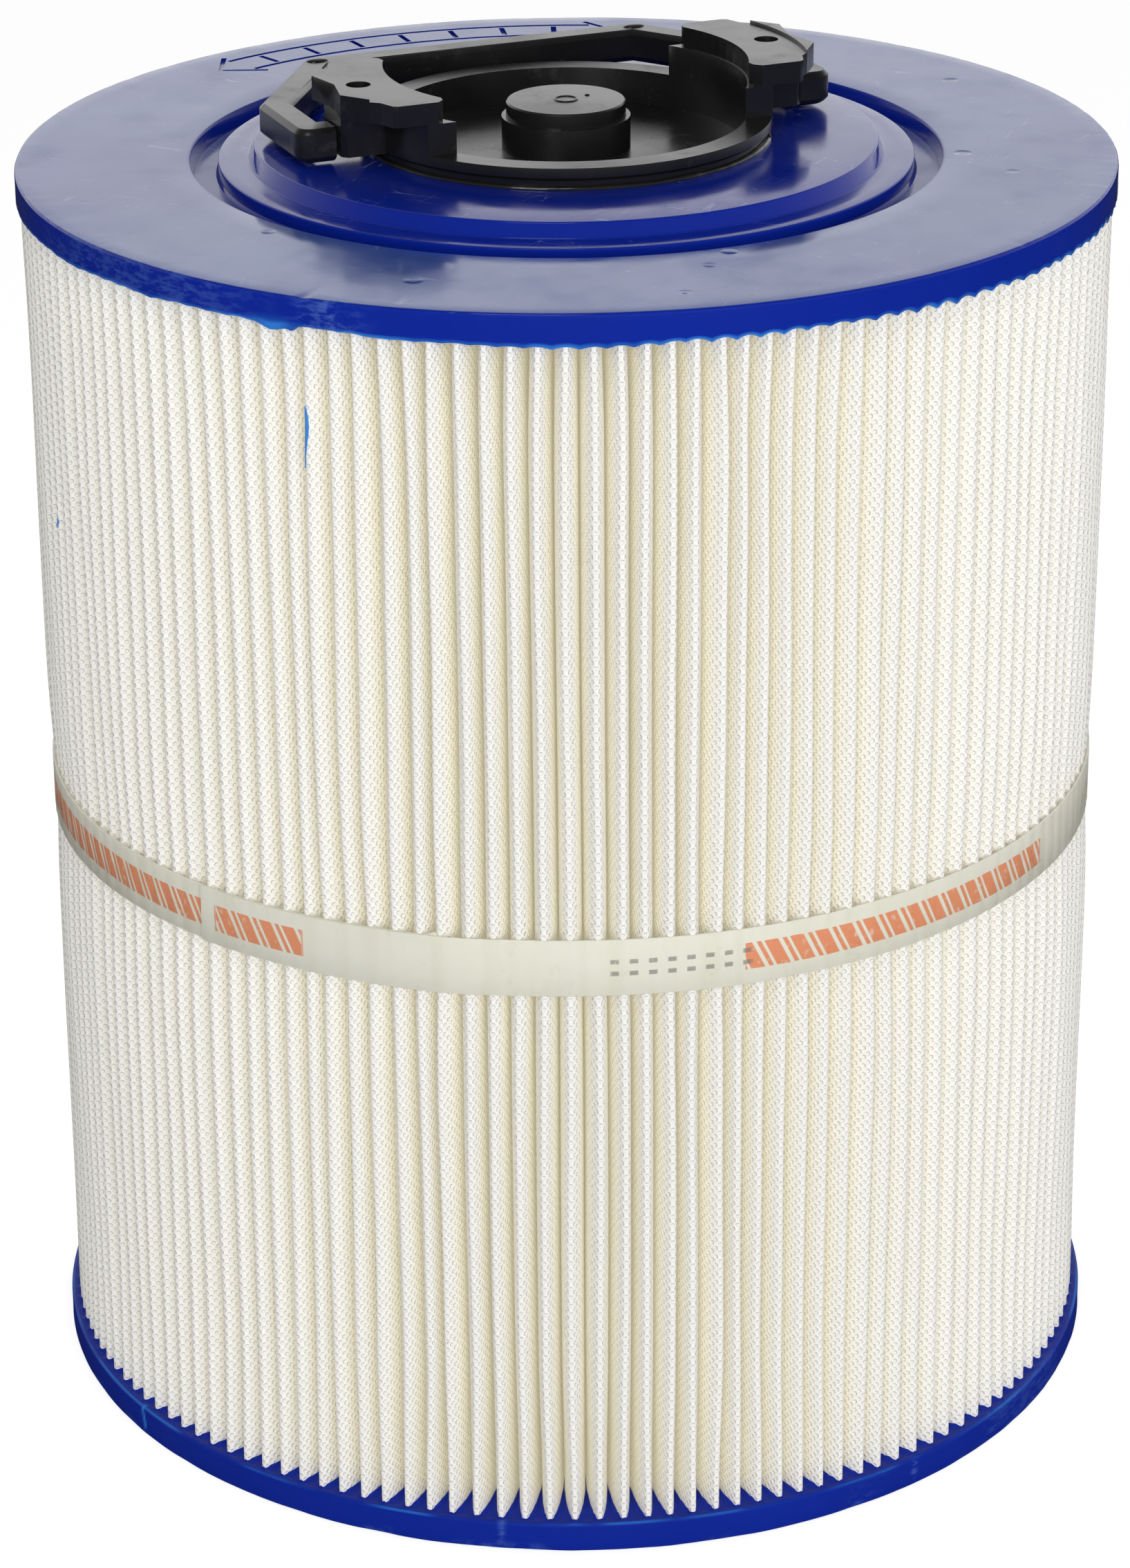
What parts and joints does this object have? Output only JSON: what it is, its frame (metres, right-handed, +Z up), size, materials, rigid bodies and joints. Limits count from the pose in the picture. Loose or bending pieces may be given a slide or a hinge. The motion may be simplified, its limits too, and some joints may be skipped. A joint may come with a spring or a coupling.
{
  "type": "pool and spa filter cartridge",
  "caption": "Cylindrical pleated water filter cartridge with moulded end caps, a retaining band round the pleats, a twist-lock hub on top and a folding lifting handle.",
  "frame": {"origin": "centre of the bottom cap's underside, on the cartridge axis", "axes": "+Z runs up the cartridge axis; +X runs through the two hub lugs and is the handle's pivot direction; the folded handle lies towards +Y"},
  "size_m": [0.217, 0.217, 0.27],
  "materials": {
    "cap_blue": "glossy cast polyurethane",
    "media_white": "matt point-bonded nonwoven sheet",
    "bead_clear": "hot-melt adhesive",
    "core_white": "moulded polypropylene",
    "band_cream": "translucent extruded strip",
    "hub_black": "satin moulded plastic"
  },
  "bodies": {
    "cartridge": {"top_end_cap": "cap_blue", "bottom_end_cap": "cap_blue", "pleat_pack": "media_white", "pleat_seam_bead": "bead_clear", "core_upper": "core_white", "core_lower": "core_white", "retaining_band": "band_cream", "bayonet_hub": "hub_black", "centre_plug": "hub_black", "outlet_ring": "hub_black"},
    "handle": {"bail_handle": "hub_black"}
  },
  "joints": [
    {"name": "handle_pivot", "type": "hinge", "parent": "cartridge", "child": "handle", "pos_m": [0, 0, 0.2602], "axis": [1, 0, 0], "range_deg": [0, 180]}
  ]
}
